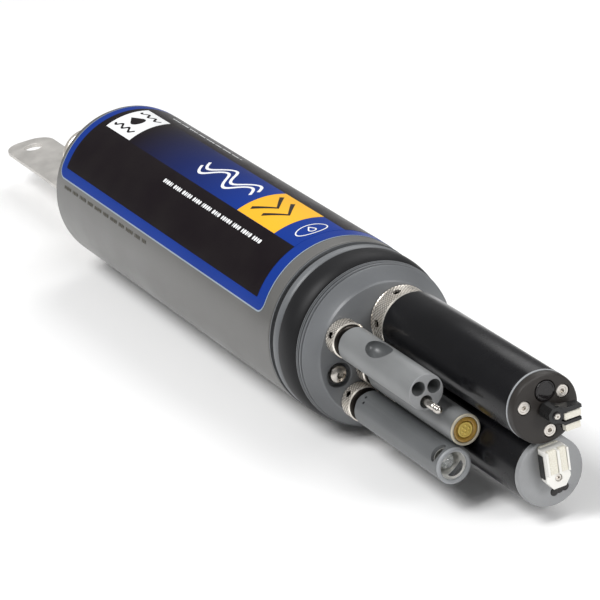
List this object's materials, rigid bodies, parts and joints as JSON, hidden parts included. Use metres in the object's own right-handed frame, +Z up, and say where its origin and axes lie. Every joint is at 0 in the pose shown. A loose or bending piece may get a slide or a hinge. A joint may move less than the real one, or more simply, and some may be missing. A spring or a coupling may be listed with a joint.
{
  "type": "water quality probe",
  "caption": "Multiparameter water quality probe: sealed tube with hanging bail and cable connector behind, plug-in sensor probes with knurled nuts and wipers in front.",
  "frame": {"origin": "middle of the underside of the whole object's box, lying on its side on the tube's lowest flat", "axes": "+X along the tube towards the sensor probes, +Z up, bail tab parallel to XY"},
  "size_m": [0.5176, 0.0734, 0.0737],
  "materials": {
    "grey_plastic": "moulded and turned PVC, satin",
    "dark_grey_plastic": "satin",
    "light_grey_plastic": "satin",
    "black_plastic": "polished",
    "black_rubber": "matt",
    "stainless_steel": "turned and knurled",
    "blasted_steel": "bead blasted",
    "label_film": "printed film",
    "window_glass": "polished dark window",
    "bulb_glass": "clear",
    "wiper_foam": "foam",
    "white_plastic": "moulded",
    "amber_plastic": "cast",
    "yellow_membrane": "membrane",
    "circuit_board": "solder mask"
  },
  "bodies": {
    "sonde": {"housing_tube": "grey_plastic", "label": "label_film", "front_bulkhead": "grey_plastic", "front_seal": "black_rubber", "face_seal": "black_rubber", "rubber_band": "black_rubber", "earth_screw": "stainless_steel", "rear_cap": "dark_grey_plastic", "rear_seal": "black_rubber", "bail": "blasted_steel", "bail_screw_1": "stainless_steel", "bail_screw_2": "stainless_steel", "connector_shell": "stainless_steel", "contact_insert": "black_rubber", "connector_lock_nut": "stainless_steel", "board_carrier": "dark_grey_plastic", "main_board": "circuit_board", "port_board": "circuit_board"},
    "pressure_cap": {"connector_cap": "black_plastic"},
    "sleeve": {"locking_sleeve": "stainless_steel"},
    "optical_probe_a": {"optical_body_a": "black_plastic", "end_gasket_a": "light_grey_plastic", "end_plate_a": "dark_grey_plastic", "window_a": "window_glass", "plate_screw_1": "stainless_steel", "plate_screw_2": "stainless_steel", "plate_screw_3": "stainless_steel", "optics_carrier_a": "dark_grey_plastic", "wiper_motor_a": "stainless_steel", "stem_seal_a": "black_rubber"},
    "optical_nut_a": {"nut_a": "stainless_steel"},
    "wiper_a": {"wiper_arm_a": "dark_grey_plastic", "wiper_shaft_a": "stainless_steel", "wiper_foam_a_1": "wiper_foam", "wiper_foam_a_2": "wiper_foam", "wiper_screw_a": "stainless_steel"},
    "optical_probe_b": {"optical_body_b": "black_plastic", "end_plate_b": "light_grey_plastic", "lens_b": "window_glass", "optics_carrier_b": "dark_grey_plastic", "wiper_motor_b": "stainless_steel", "stem_seal_b": "black_rubber"},
    "optical_nut_b": {"nut_b": "stainless_steel"},
    "wiper_b": {"wiper_arm_b": "white_plastic", "wiper_shaft_b": "stainless_steel", "wiper_foam_b": "wiper_foam", "wiper_screw_b": "stainless_steel"},
    "conductivity_probe": {"conductivity_body": "grey_plastic", "thermistor_pin": "stainless_steel", "stem_seal_conductivity": "black_rubber"},
    "conductivity_nut": {"nut_conductivity": "stainless_steel"},
    "ion_probe": {"ion_body": "grey_plastic", "ion_tip_ring": "amber_plastic", "ion_membrane": "yellow_membrane", "stem_seal_ion": "black_rubber"},
    "ion_nut": {"nut_ion": "stainless_steel"},
    "ph_probe": {"ph_body": "dark_grey_plastic", "ph_bulb": "bulb_glass", "stem_seal_ph": "black_rubber"},
    "ph_nut": {"nut_ph": "stainless_steel"}
  },
  "joints": [
    {"name": "a_probe_slide", "type": "slide", "parent": "sonde", "child": "optical_probe_a", "axis": [1, 0, 0], "range_m": [0, 0.006]},
    {"name": "a_nut_turn", "type": "hinge", "parent": "optical_probe_a", "child": "optical_nut_a", "pos_m": [0.1372, 0.0089, 0.04906], "axis": [1, 0, 0], "range_deg": [0, 2161]},
    {"name": "b_probe_slide", "type": "slide", "parent": "sonde", "child": "optical_probe_b", "axis": [1, 0, 0], "range_m": [0, 0.006]},
    {"name": "b_nut_turn", "type": "hinge", "parent": "optical_probe_b", "child": "optical_nut_b", "pos_m": [0.1372, 0.0097, 0.02046], "axis": [1, 0, 0], "range_deg": [0, 2161]},
    {"name": "conductivity_probe_slide", "type": "slide", "parent": "sonde", "child": "conductivity_probe", "axis": [1, 0, 0], "range_m": [0, 0.006]},
    {"name": "conductivity_nut_turn", "type": "hinge", "parent": "conductivity_probe", "child": "conductivity_nut", "pos_m": [0.1372, -0.0173, 0.04896], "axis": [1, 0, 0], "range_deg": [0, 2161]},
    {"name": "ion_probe_slide", "type": "slide", "parent": "sonde", "child": "ion_probe", "axis": [1, 0, 0], "range_m": [0, 0.006]},
    {"name": "ion_nut_turn", "type": "hinge", "parent": "ion_probe", "child": "ion_nut", "pos_m": [0.1372, -0.0073, 0.03256], "axis": [1, 0, 0], "range_deg": [0, 2161]},
    {"name": "ph_probe_slide", "type": "slide", "parent": "sonde", "child": "ph_probe", "axis": [1, 0, 0], "range_m": [0, 0.006]},
    {"name": "ph_nut_turn", "type": "hinge", "parent": "ph_probe", "child": "ph_nut", "pos_m": [0.1372, -0.0149, 0.02006], "axis": [1, 0, 0], "range_deg": [0, 2161]},
    {"name": "wiper_a_turn", "type": "hinge", "parent": "optical_probe_a", "child": "wiper_a", "pos_m": [0.2532, 0.0089, 0.04906], "axis": [1, 0, 0], "continuous": true},
    {"name": "wiper_b_turn", "type": "hinge", "parent": "optical_probe_b", "child": "wiper_b", "pos_m": [0.2502, 0.0097, 0.02046], "axis": [1, 0, 0], "continuous": true},
    {"name": "cap_slide", "type": "slide", "parent": "sonde", "child": "pressure_cap", "axis": [-1, 0, 0], "range_m": [0, 0.006]},
    {"name": "sleeve_turn", "type": "hinge", "parent": "pressure_cap", "child": "sleeve", "pos_m": [-0.1508, 0, 0.03666], "axis": [-1, 0, 0], "range_deg": [0, 2161]}
  ],
  "couplings": [
    {"joint": "a_nut_turn", "follows": "a_probe_slide", "rad_per_m": 6283.2},
    {"joint": "b_nut_turn", "follows": "b_probe_slide", "rad_per_m": 6283.2},
    {"joint": "conductivity_nut_turn", "follows": "conductivity_probe_slide", "rad_per_m": 6283.2},
    {"joint": "ion_nut_turn", "follows": "ion_probe_slide", "rad_per_m": 6283.2},
    {"joint": "ph_nut_turn", "follows": "ph_probe_slide", "rad_per_m": 6283.2},
    {"joint": "sleeve_turn", "follows": "cap_slide", "rad_per_m": 6283.2}
  ]
}
